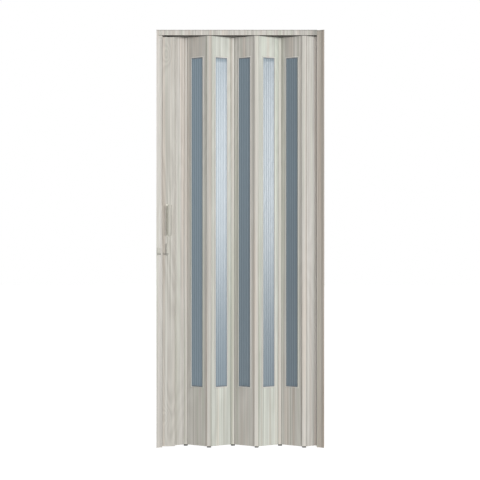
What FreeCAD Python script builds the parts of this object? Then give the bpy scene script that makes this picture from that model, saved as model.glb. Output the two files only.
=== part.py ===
import FreeCAD, Part
import math
import os
import Sketcher

# An accordion door, closed, in millimetres. X runs along the width, the front
# faces -Y and Z is up. The origin is on the wall face of the right jamb, at
# floor level and in the middle of the depth. The leaf is a row of slats joined
# by soft strips. It hangs in the header rail and stands in shallow pleats.

doc = FreeCAD.newDocument("accordion_door")

# The leaf has narrow plain slats at both ends and glazed ones between them
SLAT_COUNT = 7
END_SLATS = 2
GLAZED = range(1, SLAT_COUNT - 1)
HUNG = range(1, SLAT_COUNT, 2)
FOLD_COUNT = SLAT_COUNT - 1
SCREW_COUNT = 4

# The driving dimensions
DIMENSIONS = {
    "overall_width": 815,
    "overall_height": 2030,
    "frame_depth": 50,
    "left_jamb_width": 27,
    "right_jamb_width": 35,
    "jamb_wall": 2.5,
    "jamb_facet": 16,
    "jamb_slope": 22,
    "jamb_inner_slope": 9,
    "header_height": 27,
    "header_wall": 2.5,
    "header_bevel": 3,
    "header_slot": 16,
    "header_cap": 2,
    "screw_radius": 2.5,
    "jamb_screw_edge": 205,
    "header_screw_edge": 76.5,
    "foot_height": 7,
    "head_gap": 2,
    "post_width": 60,
    "post_depth": 40,
    "post_gap": 1.5,
    "post_head_gap": 8,
    "nose_width": 20,
    "nose_length": 12,
    "pleat_angle": 18,
    "short_slat_width": 41,
    "slat_thickness": 12,
    "slat_edge": 9.6,
    "slat_bevel": 1.2,
    "groove_depth": 4,
    "groove_width": 3.2,
    "groove_play": 0.2,
    "strip_width": 22,
    "strip_setback": 0.5,
    "strip_bulge": 1,
    "web_thickness": 3,
    "post_joint": 1,
    "end_strip_gap": 12,
    "pane_share": 0.56,
    "pane_bottom": 293.5,
    "pane_head": 131.5,
    "pane_thickness": 4,
    "bead_width": 6,
    "bead_bevel": 3,
    "bead_play": 0.2,
    "foot_cap_depth": 9,
    "foot_cap_inset": 1,
    "foot_cap_corner": 2,
    "pin_radius": 2.5,
    "pin_play": 0.2,
    "pin_seat": 15,
    "runner_length": 26,
    "runner_width": 30,
    "runner_height": 8,
    "handle_width": 31,
    "handle_length": 155,
    "handle_base": 3,
    "handle_corner": 7,
    "handle_from_edge": 30,
    "handle_height": 1105,
    "recess_rim": 4.5,
    "recess_depth": 1.5,
    "grip_length": 146,
    "grip_reach": 15,
    "grip_inset": 2.5,
    "grip_stem": 9,
    "grip_lip": 5,
    "grip_lean": 7,
    "grip_corner": 6,
    "lock_gap": 33.5,
    "lock_from_edge": 23,
    "lock_width": 14,
    "lock_length": 60,
    "lock_base": 2,
    "hook_width": 7,
    "hook_thickness": 2,
    "hook_reach": 12,
    "keep_from_wall": 4.5,
    "keep_width": 18,
    "keep_length": 34,
    "keep_thickness": 3,
    "keep_drop": 10,
}

sheet = doc.addObject("Spreadsheet::Sheet", "dims")
for row, (alias, value) in enumerate(DIMENSIONS.items(), start=1):
    sheet.set(f"A{row}", alias)
    sheet.set(f"B{row}", str(value))
    sheet.setAlias(f"B{row}", alias)
doc.recompute()


# Values that follow from the driving dimensions
layout = doc.addObject("App::VarSet", "layout")


def derive(name, expression, kind="App::PropertyFloat"):
    layout.addProperty(kind, name, "Layout")
    layout.setExpression(name, expression)
    doc.recompute()


def size_of(expression):
    value = sheet.evalExpression(expression)
    return float(getattr(value, "Value", value))


derive("rail_base", "dims.overall_height - dims.header_height")
derive("leaf_height", "layout.rail_base - dims.head_gap - dims.foot_height")
derive("header_length", "dims.overall_width - dims.left_jamb_width - dims.right_jamb_width")
derive("header_screw_pitch",
       f"(layout.header_length - 2 * dims.header_screw_edge) / {SCREW_COUNT - 1}")
derive("jamb_screw_pitch",
       f"(dims.overall_height - 2 * dims.jamb_screw_edge) / {SCREW_COUNT - 1}")
derive("post_left", "-dims.overall_width + dims.left_jamb_width + dims.post_gap")
derive("post_right", "layout.post_left + dims.post_width")
derive("lock_height", "dims.handle_height - dims.handle_length / 2 - dims.lock_gap"
       " - dims.lock_length / 2")

# The chain of slats and strips reaches from the lead post to the right jamb.
# Its length in that direction gives the width of the glazed slats.
TURN = "dims.pleat_angle"
derive("chain_reach",
       "-dims.right_jamb_width - layout.post_right - dims.post_joint - dims.end_strip_gap"
       f" - {FOLD_COUNT} * dims.strip_width")
derive("slat_width",
       f"(layout.chain_reach + {FOLD_COUNT - 1} * dims.slat_edge * sin({TURN})"
       f" - {END_SLATS} * dims.short_slat_width * cos({TURN}))"
       f" / ({SLAT_COUNT - END_SLATS} * cos({TURN}))")
derive("slat_run", f"layout.slat_width * cos({TURN})")
derive("pane_side", "layout.slat_width * (1 - dims.pane_share) / 2")
derive("short_run", f"dims.short_slat_width * cos({TURN})")
derive("fold_run", f"dims.strip_width - dims.slat_edge * sin({TURN})")
derive("fold_depth", f"layout.slat_width * sin({TURN}) / 2")
derive("short_depth", f"dims.short_slat_width * sin({TURN})")
derive("fold_face", f"layout.fold_depth + dims.slat_edge * cos({TURN}) / 2")
derive("chain_start",
       f"layout.post_right + dims.post_joint + dims.slat_edge * sin({TURN}) / 2")
derive("chain_end",
       f"-dims.right_jamb_width - dims.end_strip_gap - dims.slat_edge * sin({TURN}) / 2")


def new_body(label):
    body = doc.addObject("PartDesign::Body", label)
    body.Label = label
    return body


def plane_of(body, role):
    return next(item for item in body.Origin.OriginFeatures if item.Role == role)


def place(body, x, y, z, turn="0"):
    body.Placement.Rotation = FreeCAD.Rotation(FreeCAD.Vector(0, 0, 1), 0)
    body.setExpression("Placement.Base.x", x)
    body.setExpression("Placement.Base.y", y)
    body.setExpression("Placement.Base.z", z)
    body.setExpression("Placement.Rotation.Yaw", turn)


def new_sketch(body, name, role, lift=None):
    sketch = body.newObject("Sketcher::SketchObject", f"{body.Name}_{name}")
    sketch.AttachmentSupport = [(plane_of(body, role), "")]
    sketch.MapMode = "FlatFace"
    if lift:
        sketch.setExpression("AttachmentOffset.Base.z", lift)
    doc.recompute()
    return sketch


def pin(sketch, edge, end, kind, expression):
    """Ties one coordinate of a point on an edge to an expression."""
    value = size_of(expression)
    axis = -2 if kind == "DistanceX" else -1
    if abs(value) < 1e-9:
        sketch.addConstraint(Sketcher.Constraint("PointOnObject", edge, end, axis))
        return
    index = sketch.addConstraint(Sketcher.Constraint(kind, -1, 1, edge, end, value))
    sketch.setExpression(f"Constraints[{index}]", expression)


def draw_loop(sketch, corners):
    """Draws a closed outline, anticlockwise, through corners given as expressions.

    A corner of four values starts an arc, and its last two are the arc's centre.
    """
    points = [FreeCAD.Vector(size_of(corner[0]), size_of(corner[1]), 0) for corner in corners]
    following = points[1:] + points[:1]
    first = sketch.GeometryCount
    for corner, here, there in zip(corners, points, following):
        if len(corner) == 2:
            sketch.addGeometry(Part.LineSegment(here, there))
            continue
        centre = FreeCAD.Vector(size_of(corner[2]), size_of(corner[3]), 0)
        out = here - centre
        back = there - centre
        circle = Part.Circle(centre, FreeCAD.Vector(0, 0, 1), out.Length)
        sketch.addGeometry(Part.ArcOfCircle(
            circle, math.atan2(out.y, out.x), math.atan2(back.y, back.x)))
    count = len(points)
    for step in range(count):
        after = first + (step + 1) % count
        sketch.addConstraint(Sketcher.Constraint("Coincident", first + step, 2, after, 1))
    for step, corner in enumerate(corners):
        pin(sketch, first + step, 1, "DistanceX", corner[0])
        pin(sketch, first + step, 1, "DistanceY", corner[1])
        if len(corner) == 4:
            chord = following[step] - points[step]
            if abs(chord.x) < abs(chord.y):
                pin(sketch, first + step, 3, "DistanceX", corner[2])
            else:
                pin(sketch, first + step, 3, "DistanceY", corner[3])


def draw_circle(sketch, x, y, radius):
    centre = FreeCAD.Vector(size_of(x), size_of(y), 0)
    edge = sketch.addGeometry(Part.Circle(centre, FreeCAD.Vector(0, 0, 1), size_of(radius)))
    pin(sketch, edge, 3, "DistanceX", x)
    pin(sketch, edge, 3, "DistanceY", y)
    index = sketch.addConstraint(Sketcher.Constraint("Radius", edge, size_of(radius)))
    sketch.setExpression(f"Constraints[{index}]", radius)


def box_corners(left, bottom, right, top):
    return [(left, bottom), (right, bottom), (right, top), (left, top)]


def rounded_corners(left, bottom, right, top, radius):
    return [
        (f"{left} + {radius}", bottom),
        (f"{right} - {radius}", bottom, f"{right} - {radius}", f"{bottom} + {radius}"),
        (right, f"{bottom} + {radius}"),
        (right, f"{top} - {radius}", f"{right} - {radius}", f"{top} - {radius}"),
        (f"{right} - {radius}", top),
        (f"{left} + {radius}", top, f"{left} + {radius}", f"{top} - {radius}"),
        (left, f"{top} - {radius}"),
        (left, f"{bottom} + {radius}", f"{left} + {radius}", f"{bottom} + {radius}"),
    ]


def pad(body, sketch, length, both_ways=False):
    feature = body.newObject("PartDesign::Pad", f"{sketch.Name}_pad")
    feature.Profile = sketch
    feature.setExpression("Length", length)
    feature.Midplane = both_ways
    doc.recompute()
    return feature


def pocket(body, sketch, length, both_ways=True):
    before = body.Shape.Volume
    feature = body.newObject("PartDesign::Pocket", f"{sketch.Name}_pocket")
    feature.Profile = sketch
    feature.setExpression("Length", length)
    feature.Midplane = both_ways
    doc.recompute()
    if not body.Shape.Volume < before - 1e-3:
        raise ValueError(f"{sketch.Name} cuts nothing")
    return feature


parts = []


def keep(piece):
    parts.append(piece)
    return piece


# Frame

def jamb_face(distance):
    """How deep the front of a jamb lies at a distance from the wall."""
    return f"-dims.frame_depth / 2 + ({distance}) * tan(dims.jamb_slope)"


def jamb_inner_face(distance):
    return (f"{jamb_face('dims.jamb_facet')}"
            f" + ({distance} - dims.jamb_facet) * tan(dims.jamb_inner_slope)")


def jamb(label, width, side, x):
    """A channel open towards the leaf, its front thinning in two slopes."""
    body = keep(new_body(label))
    back = "dims.frame_depth / 2"
    wall = "dims.jamb_wall"
    fold = "dims.jamb_facet"
    section = new_sketch(body, "section", "XY_Plane")
    draw_loop(section, [
        ("0", jamb_face("0")),
        (f"{side} * {fold}", jamb_face(fold)),
        (f"{side} * {width}", jamb_inner_face(width)),
        (f"{side} * {width}", f"{jamb_inner_face(width)} + {wall}"),
        (f"{side} * {fold}", f"{jamb_face(fold)} + {wall}"),
        (f"{side} * {wall}", f"{jamb_face(wall)} + {wall}"),
        (f"{side} * {wall}", f"{back} - {wall}"),
        (f"{side} * {width}", f"{back} - {wall}"),
        (f"{side} * {width}", back),
        ("0", back),
    ])
    pad(body, section, "dims.overall_height")
    holes = new_sketch(body, "screws", "YZ_Plane")
    for step in range(SCREW_COUNT):
        height = f"dims.jamb_screw_edge + {step} * layout.jamb_screw_pitch"
        draw_circle(holes, "0", height, "dims.screw_radius")
    pocket(body, holes, "4 * dims.jamb_wall")
    place(body, x, "0", "0")


jamb("right_jamb", "dims.right_jamb_width", -1, "0")
jamb("left_jamb", "dims.left_jamb_width", 1, "-dims.overall_width")


def header_outline():
    half = "dims.frame_depth / 2"
    tall = "dims.header_height"
    return [
        (f"-{half}", "0"),
        (f"-{half}", f"{tall} - dims.header_bevel"),
        (f"-{half} + dims.header_bevel", tall),
        (half, tall),
        (half, "0"),
    ]


def header():
    """The head channel between the jambs, slotted below, and its closed ends."""
    body = keep(new_body("header_rail"))
    inner = "(dims.frame_depth / 2 - dims.header_wall)"
    ceiling = "dims.header_height - dims.header_wall"
    lip = "dims.header_wall"
    slot = "dims.header_slot / 2"
    section = new_sketch(body, "section", "YZ_Plane")
    draw_loop(section, header_outline() + [
        (slot, "0"),
        (slot, lip),
        (inner, lip),
        (inner, ceiling),
        (f"-{inner}", ceiling),
        (f"-{inner}", lip),
        (f"-{slot}", lip),
        (f"-{slot}", "0"),
    ])
    pad(body, section, "layout.header_length - 2 * dims.header_cap")
    holes = new_sketch(body, "screws", "XY_Plane")
    for step in range(SCREW_COUNT):
        along = f"dims.header_screw_edge - dims.header_cap + {step} * layout.header_screw_pitch"
        draw_circle(holes, along, "0", "dims.screw_radius")
    pocket(body, holes, "4 * dims.header_height")
    left = "-dims.overall_width + dims.left_jamb_width"
    place(body, f"{left} + dims.header_cap", "0", "layout.rail_base")
    for label, x in (("header_end_cap_left", left),
                     ("header_end_cap_right", "-dims.right_jamb_width - dims.header_cap")):
        cap = keep(new_body(label))
        outline = new_sketch(cap, "outline", "YZ_Plane")
        draw_loop(outline, header_outline())
        pad(cap, outline, "dims.header_cap")
        place(cap, x, "0", "layout.rail_base")


header()


# Leaf

def lead_post():
    """A solid post with a nose that enters the left jamb."""
    body = keep(new_body("lead_post"))
    half = "dims.post_depth / 2"
    seat = "layout.fold_depth - layout.short_depth"
    section = new_sketch(body, "section", "XY_Plane")
    draw_loop(section, [
        ("0", f"-{half}"),
        ("dims.post_width", f"-{half}"),
        ("dims.post_width", f"{seat} - dims.groove_width / 2"),
        ("dims.post_width - dims.groove_depth", f"{seat} - dims.groove_width / 2"),
        ("dims.post_width - dims.groove_depth", f"{seat} + dims.groove_width / 2"),
        ("dims.post_width", f"{seat} + dims.groove_width / 2"),
        ("dims.post_width", half),
        ("0", half),
        ("0", "dims.nose_width / 2"),
        ("-dims.nose_length", "dims.nose_width / 2"),
        ("-dims.nose_length", "-dims.nose_width / 2"),
        ("0", "-dims.nose_width / 2"),
    ])
    pad(body, section, "layout.leaf_height + dims.head_gap - dims.post_head_gap")
    seat_for_pin(body, "dims.post_width / 2",
                 "layout.leaf_height + dims.head_gap - dims.post_head_gap")
    place(body, "layout.post_left", "0", "dims.foot_height")


def seat_for_pin(body, x, top):
    """A blind hole in the top of a post or slat for a glider's pin."""
    hole = new_sketch(body, "pin_seat", "XY_Plane", top)
    draw_circle(hole, x, "0", "dims.pin_radius + dims.pin_play")
    pocket(body, hole, "dims.pin_seat", both_ways=False)


def slat_width(index):
    return "layout.slat_width" if index in GLAZED else "dims.short_slat_width"


def slat_start(index):
    """Where the centre line of a slat starts, and which way it turns."""
    if index == 0:
        return "layout.chain_start", "layout.fold_depth - layout.short_depth", 1
    x = (f"layout.chain_start + layout.short_run + {index} * layout.fold_run"
         f" + {index - 1} * layout.slat_run")
    if index % 2:
        return x, "layout.fold_depth", -1
    return x, "-layout.fold_depth", 1


def place_on_slat(body, index):
    x, y, way = slat_start(index)
    place(body, x, y, "dims.foot_height", f"{way} * {TURN}")


def slat(index):
    """One slat: a plate with bevelled edges and a groove down each side."""
    body = keep(new_body(f"slat_{index + 1}"))
    width = slat_width(index)
    face = "dims.slat_thickness / 2"
    edge = "dims.slat_edge / 2"
    bevel = "dims.slat_bevel"
    groove = "dims.groove_width / 2"
    section = new_sketch(body, "section", "XY_Plane")
    draw_loop(section, [
        ("0", f"-{edge}"),
        (bevel, f"-{face}"),
        (f"{width} - {bevel}", f"-{face}"),
        (width, f"-{edge}"),
        (width, f"-{groove}"),
        (f"{width} - dims.groove_depth", f"-{groove}"),
        (f"{width} - dims.groove_depth", groove),
        (width, groove),
        (width, edge),
        (f"{width} - {bevel}", face),
        (bevel, face),
        ("0", edge),
        ("0", groove),
        ("dims.groove_depth", groove),
        ("dims.groove_depth", f"-{groove}"),
        ("0", f"-{groove}"),
    ])
    pad(body, section, "layout.leaf_height")
    if index in GLAZED:
        window = new_sketch(body, "window", "XZ_Plane")
        draw_loop(window, pane_corners("dims.bead_width"))
        pocket(body, window, "2 * dims.slat_thickness")
    if index in HUNG:
        seat_for_pin(body, "layout.slat_width / 2", "layout.leaf_height")
    place_on_slat(body, index)


def pane_corners(margin):
    """The visible pane on a slat's own plane, grown by a margin on every side."""
    return box_corners(f"layout.pane_side - ({margin})",
                       f"dims.pane_bottom - dims.foot_height - ({margin})",
                       f"layout.slat_width - layout.pane_side + ({margin})",
                       f"dims.overall_height - dims.pane_head - dims.foot_height + ({margin})")


def glazing(index):
    """The pane of a slat and the frame that grips it all round."""
    pane = keep(new_body(f"glass_pane_{index}"))
    sheet_outline = new_sketch(pane, "outline", "XZ_Plane")
    draw_loop(sheet_outline, pane_corners("dims.bead_width / 2"))
    pad(pane, sheet_outline, "dims.pane_thickness", both_ways=True)
    place_on_slat(pane, index)

    bead = keep(new_body(f"glazing_bead_{index}"))
    ring = new_sketch(bead, "ring", "XZ_Plane")
    draw_loop(ring, pane_corners("dims.bead_width - dims.bead_play"))
    draw_loop(ring, pane_corners("0"))
    pad(bead, ring, "dims.slat_thickness", both_ways=True)
    groove = new_sketch(bead, "groove", "XZ_Plane")
    draw_loop(groove, pane_corners("dims.bead_width / 2 + dims.bead_play"))
    pocket(bead, groove, "dims.pane_thickness + 2 * dims.bead_play")
    bevel_inner_rim(bead)
    place_on_slat(bead, index)


def bevel_inner_rim(bead):
    """Slopes the frame's inner rim on both faces down to the pane."""
    face = size_of("dims.slat_thickness / 2")
    left = size_of("layout.pane_side")
    right = size_of("layout.slat_width - layout.pane_side")
    rims = []
    for number, edge in enumerate(bead.Shape.Edges, start=1):
        box = edge.BoundBox
        on_face = abs(abs(box.Center.y) - face) < 1e-6 and box.YLength < 1e-6
        inside = box.XMin > left - 1e-6 and box.XMax < right + 1e-6
        if on_face and inside:
            rims.append(f"Edge{number}")
    plain = bead.Tip
    bevel = bead.newObject("PartDesign::Chamfer", f"{bead.Name}_bevel")
    bevel.Base = (plain, rims)
    bevel.setExpression("Size", "dims.bead_bevel")
    doc.recompute()


def strip_side(way, depth, reach):
    """A point on a strip's side: depth along the slat's end, reach into the slat."""
    x = f"{way} * (dims.strip_width / 2 - ({depth}) * sin({TURN}) + ({reach}) * cos({TURN}))"
    return x, f"({depth}) * cos({TURN}) + ({reach}) * sin({TURN})"


# The inner face of a fold's strip is an arc over this chord
INNER_EDGE = "dims.slat_edge - dims.strip_setback"
half_chord, chord_depth = strip_side(1, INNER_EDGE, "-dims.groove_play")
derive("strip_half_chord", half_chord)
derive("strip_radius",
       "(layout.strip_half_chord^2 + dims.strip_bulge^2) / (2 * dims.strip_bulge)")
derive("strip_centre", f"{chord_depth} + dims.strip_bulge - layout.strip_radius")


def hinge_strip(index):
    """The soft strip at a fold, with a tongue in the groove of each slat."""
    body = keep(new_body(f"hinge_strip_{index + 1}"))
    near = "dims.slat_edge / 2 - dims.groove_width / 2 + dims.groove_play"
    far = "dims.slat_edge / 2 + dims.groove_width / 2 - dims.groove_play"
    tip = "dims.groove_depth - dims.groove_play"
    play = "-dims.groove_play"
    half = [
        ("dims.strip_setback", play),
        (near, play),
        (near, tip),
        (far, tip),
        (far, play),
        (INNER_EDGE, play),
    ]
    right = [strip_side(1, depth, reach) for depth, reach in half]
    left = [strip_side(-1, depth, reach) for depth, reach in reversed(half)]
    right[-1] += ("0", "layout.strip_centre")
    section = new_sketch(body, "section", "XY_Plane")
    draw_loop(section, right + left)
    pad(body, section, "layout.leaf_height")
    place_at_fold(body, index, "dims.foot_height")

    cap = keep(new_body(f"foot_cap_{index + 1}"))
    outline = new_sketch(cap, "outline", "XY_Plane")
    side = "dims.strip_width / 2 - dims.foot_cap_inset"
    draw_loop(outline, rounded_corners(f"-({side})", "dims.strip_setback", side,
                                       "dims.foot_cap_depth", "dims.foot_cap_corner"))
    pad(cap, outline, "dims.foot_height")
    place_at_fold(cap, index, "0")


def place_at_fold(body, index, z):
    """Puts a piece at a fold, its face to the front at every second one."""
    x, _, _ = slat_start(index + 1)
    middle = f"{x} - layout.fold_run / 2"
    if index % 2:
        place(body, middle, "-layout.fold_face", z)
    else:
        place(body, middle, "layout.fold_face", z, "180")


def tie_strip(label, length, x, y, turn):
    """A strip with a tongue in a slat's edge and a flat web that ties it in."""
    body = keep(new_body(label))
    half_tongue = "(dims.groove_width / 2 - dims.groove_play)"
    tip = "(dims.groove_depth - dims.groove_play)"
    root = "dims.groove_play"
    half_web = "dims.web_thickness / 2"
    web_start = "dims.slat_edge / 2"
    section = new_sketch(body, "section", "XY_Plane")
    draw_loop(section, [
        (f"-{tip} * cos({TURN}) + {half_tongue} * sin({TURN})",
         f"-{tip} * sin({TURN}) - {half_tongue} * cos({TURN})"),
        (f"{root} * cos({TURN}) + {half_tongue} * sin({TURN})",
         f"{root} * sin({TURN}) - {half_tongue} * cos({TURN})"),
        (web_start, f"-{half_web}"),
        (length, f"-{half_web}"),
        (length, half_web),
        (web_start, half_web),
        (f"{root} * cos({TURN}) - {half_tongue} * sin({TURN})",
         f"{root} * sin({TURN}) + {half_tongue} * cos({TURN})"),
        (f"-{tip} * cos({TURN}) - {half_tongue} * sin({TURN})",
         f"-{tip} * sin({TURN}) + {half_tongue} * cos({TURN})"),
    ])
    pad(body, section, "layout.leaf_height")
    place(body, x, y, "dims.foot_height", turn)


def glider(number, x, foot):
    """A pin in the top of the leaf and a runner on the rail's lips."""
    lips = "layout.rail_base + dims.header_wall"
    pin = doc.addObject("Part::Cylinder", f"glider_pin_{number}")
    pin.setExpression("Radius", "dims.pin_radius")
    pin.setExpression("Height", f"{lips} + dims.pin_play - ({foot}) + dims.pin_seat")
    pin.setExpression("Placement.Base.x", x)
    pin.setExpression("Placement.Base.z", f"{foot} - dims.pin_seat")
    runner = doc.addObject("Part::Box", f"glider_runner_{number}")
    runner.setExpression("Length", "dims.runner_length")
    runner.setExpression("Width", "dims.runner_width")
    runner.setExpression("Height", "dims.runner_height")
    runner.setExpression("Placement.Base.x", f"{x} - dims.runner_length / 2")
    runner.setExpression("Placement.Base.y", "-dims.runner_width / 2")
    runner.setExpression("Placement.Base.z", f"{lips} + dims.pin_play")
    joined = doc.addObject("Part::Fuse", f"glider_{number}")
    joined.Label = f"glider_{number}"
    joined.Base = pin
    joined.Tool = runner
    keep(joined)


lead_post()
for index in range(SLAT_COUNT):
    slat(index)
for index in GLAZED:
    glazing(index)
for index in range(FOLD_COUNT):
    hinge_strip(index)
tie_strip("post_hinge", "layout.chain_start - layout.post_right + dims.groove_depth"
          " - dims.groove_play", "layout.chain_start",
          "layout.fold_depth - layout.short_depth", "180")
tie_strip("end_strip", "-layout.chain_end - dims.jamb_wall", "layout.chain_end",
          "layout.short_depth - layout.fold_depth", "0")
glider(1, "(layout.post_left + dims.post_width / 2)",
       "layout.rail_base - dims.post_head_gap")
for number, index in enumerate(HUNG, start=2):
    glider(number, f"({slat_start(index)[0]} + layout.slat_run / 2)",
           "layout.rail_base - dims.head_gap")


# Furniture on the lead post

def handle():
    """A moulded pull: a base with a finger recess and a grip that leans over it."""
    body = keep(new_body("handle"))
    half = "dims.handle_width / 2"
    tall = "dims.handle_length / 2"
    right = "dims.handle_width / 2 - dims.grip_inset"
    left = f"{right} - dims.grip_stem"
    base = new_sketch(body, "base", "XZ_Plane")
    draw_loop(base, rounded_corners(f"-{half}", f"-{tall}", half, tall, "dims.handle_corner"))
    pad(body, base, "dims.handle_base")
    recess = new_sketch(body, "recess", "XZ_Plane", "dims.handle_base")
    rim = "dims.recess_rim"
    draw_loop(recess, rounded_corners(f"-{half} + {rim}", f"-{tall} + {rim}",
                                      f"{left} + dims.grip_stem / 2", f"{tall} - {rim}",
                                      "(dims.handle_corner / 2)"))
    pocket(body, recess, "dims.recess_depth", both_ways=False)
    grip = new_sketch(body, "grip", "XY_Plane")
    front = "-dims.grip_reach"
    corner = "dims.grip_corner"
    lip = "dims.grip_lip"
    nose = f"{left} - dims.grip_lean + {lip} / 2"
    root = "-(dims.handle_base - dims.recess_depth) / 2"
    draw_loop(grip, [
        (nose, front),
        (f"{right} - {corner}", front, f"{right} - {corner}", f"{front} + {corner}"),
        (right, f"{front} + {corner}"),
        (right, root),
        (left, root),
        (left, f"{front} + {lip}"),
        (nose, f"{front} + {lip}", nose, f"{front} + {lip} / 2"),
    ])
    pad(body, grip, "dims.grip_length", both_ways=True)
    place(body, "layout.post_left + dims.handle_from_edge",
          "-dims.post_depth / 2", "dims.handle_height")


def lock():
    """A small hook latch: its body and hook on the post, its keep on the jamb."""
    centre = "layout.post_left + dims.lock_from_edge"
    half = "dims.lock_width / 2"
    tall = "dims.lock_length / 2"
    body = keep(new_body("lock_body"))
    base = new_sketch(body, "base", "XZ_Plane")
    draw_loop(base, [
        (f"-{half}", f"-{tall} + {half}", "0", f"-{tall} + {half}"),
        (half, f"-{tall} + {half}"),
        (half, f"{tall} - {half}", "0", f"{tall} - {half}"),
        (f"-{half}", f"{tall} - {half}"),
    ])
    pad(body, base, "dims.lock_base")
    place(body, centre, "-dims.post_depth / 2", "layout.lock_height")

    hook = keep(new_body("lock_hook"))
    arm = "dims.hook_width / 2"
    foot = f"-{tall} + {arm}"
    knee = f"{foot} + 2 * {arm}"
    left = f"-{arm} - dims.hook_reach"
    outline = new_sketch(hook, "outline", "XZ_Plane")
    draw_loop(outline, [
        (f"{left} + {arm}", foot),
        ("0", foot, "0", f"{foot} + {arm}"),
        (arm, f"{foot} + {arm}"),
        (arm, f"{tall} - 2 * {arm}", "0", f"{tall} - 2 * {arm}"),
        (f"-{arm}", f"{tall} - 2 * {arm}"),
        (f"-{arm}", knee),
        (f"{left} + {arm}", knee),
        (f"{left} + {arm}", f"{knee} + {arm}"),
        (left, f"{knee} + {arm}"),
        (left, f"{foot} + {arm}", f"{left} + {arm}", f"{foot} + {arm}"),
    ])
    pad(hook, outline, "dims.hook_thickness")
    place(hook, centre, "-dims.post_depth / 2 - dims.lock_base", "layout.lock_height")

    keeper = keep(new_body("lock_keep"))
    near = "dims.keep_from_wall"
    far = "(dims.keep_from_wall + dims.keep_width)"
    fold = "dims.jamb_facet"
    proud = "dims.keep_thickness"
    section = new_sketch(keeper, "section", "XY_Plane")
    draw_loop(section, [
        (near, f"{jamb_face(near)} - {proud}"),
        (far, f"{jamb_inner_face(far)} - {proud}"),
        (far, jamb_inner_face(far)),
        (fold, jamb_face(fold)),
        (near, jamb_face(near)),
    ])
    pad(keeper, section, "dims.keep_length", both_ways=True)
    place(keeper, "-dims.overall_width", "0", "layout.lock_height - dims.keep_drop")


handle()
lock()

doc.recompute()
for item in doc.Objects:
    if "Invalid" in item.State or "Error" in item.State:
        raise ValueError(f"{item.Label} failed: {item.State}")
os.makedirs("parts", exist_ok=True)
for piece in parts:
    shape = piece.Shape
    if shape.isNull() or not shape.isValid():
        raise ValueError(f"{piece.Label} has no valid shape")
for piece in parts:
    piece.Shape.exportStep(f"parts/{piece.Label}.step")
print(len(parts), "pieces, glazed slats", round(size_of("layout.slat_width"), 2), "mm wide")
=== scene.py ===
# %% [markdown]
# # A closed accordion door
# The door is a row of slats joined by soft strips. It hangs in a head rail and
# stands in shallow pleats between two jambs. The construction comes from the
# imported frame, in metres, with the right jamb's wall face at x = 0, the floor at
# z = 0 and the front towards -Y. This file gives it its finishes and the finer
# shapes that a maker moulds or extrudes.

import math

import bmesh
import bpy
from mathutils import Matrix, Vector


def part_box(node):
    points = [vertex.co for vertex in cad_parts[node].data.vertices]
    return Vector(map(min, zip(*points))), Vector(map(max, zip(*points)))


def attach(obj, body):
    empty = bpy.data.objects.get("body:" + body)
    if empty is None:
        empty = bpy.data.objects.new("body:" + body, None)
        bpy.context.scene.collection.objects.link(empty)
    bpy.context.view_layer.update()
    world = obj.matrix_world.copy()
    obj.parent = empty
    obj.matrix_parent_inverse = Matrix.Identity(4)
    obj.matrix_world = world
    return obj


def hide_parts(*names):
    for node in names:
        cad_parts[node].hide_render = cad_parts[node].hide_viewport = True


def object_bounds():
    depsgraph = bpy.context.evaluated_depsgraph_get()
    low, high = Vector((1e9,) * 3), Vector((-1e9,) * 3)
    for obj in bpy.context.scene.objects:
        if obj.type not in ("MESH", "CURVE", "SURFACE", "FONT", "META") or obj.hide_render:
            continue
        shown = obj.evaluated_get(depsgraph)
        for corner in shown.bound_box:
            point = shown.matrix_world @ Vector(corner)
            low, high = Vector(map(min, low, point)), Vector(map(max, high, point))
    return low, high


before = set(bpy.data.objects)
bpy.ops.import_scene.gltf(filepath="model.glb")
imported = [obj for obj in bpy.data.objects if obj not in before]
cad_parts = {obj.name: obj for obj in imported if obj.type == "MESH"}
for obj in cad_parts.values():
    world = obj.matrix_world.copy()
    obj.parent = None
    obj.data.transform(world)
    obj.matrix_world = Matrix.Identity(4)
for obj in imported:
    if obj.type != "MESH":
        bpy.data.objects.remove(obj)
cad_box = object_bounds()
scene = bpy.context.scene
print("frame box", cad_box)

# %% [markdown]
# ## The camera
# A product picture of a door is taken straight on, from half its height and a
# few metres away, so that the uprights stay parallel. The picture's scale at
# the front of the frame and the distance together give the lens. The distance
# was found from how much higher the rear feet stand in the picture.

# %% Camera
PICTURE = 480
PIXEL = 0.004852
DOOR_MIDDLE_PX = 240.36
FLOOR_PX = 448.0
CAMERA_DISTANCE = 3.4
SENSOR = 36.0

FRAME_LOW, FRAME_HIGH = (Vector(corner) for corner in cad_box)
DOOR_MIDDLE = (FRAME_LOW.x + FRAME_HIGH.x) / 2
FRAME_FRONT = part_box("left_jamb")[0].y

eye = Vector((DOOR_MIDDLE + (PICTURE / 2 - DOOR_MIDDLE_PX) * PIXEL,
              FRAME_FRONT - CAMERA_DISTANCE,
              (FLOOR_PX - PICTURE / 2) * PIXEL))
camera_data = bpy.data.cameras.new("camera")
camera_data.sensor_width = SENSOR
camera_data.lens = SENSOR * CAMERA_DISTANCE / (PICTURE * PIXEL)
camera = bpy.data.objects.new("camera", camera_data)
camera.location = eye
camera.rotation_euler = (math.radians(90), 0, 0)
scene.collection.objects.link(camera)
scene.camera = camera
print("lens", round(camera_data.lens, 2), "mm, eye", [round(c, 3) for c in eye])

# %% [markdown]
# ## Building node trees
# Every finish here is a tree of shader nodes. A small helper keeps the trees
# readable: it adds a node and fills its inputs with values or links. The others
# are short names for sums, for blends and for a ramp from one value to another.


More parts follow.
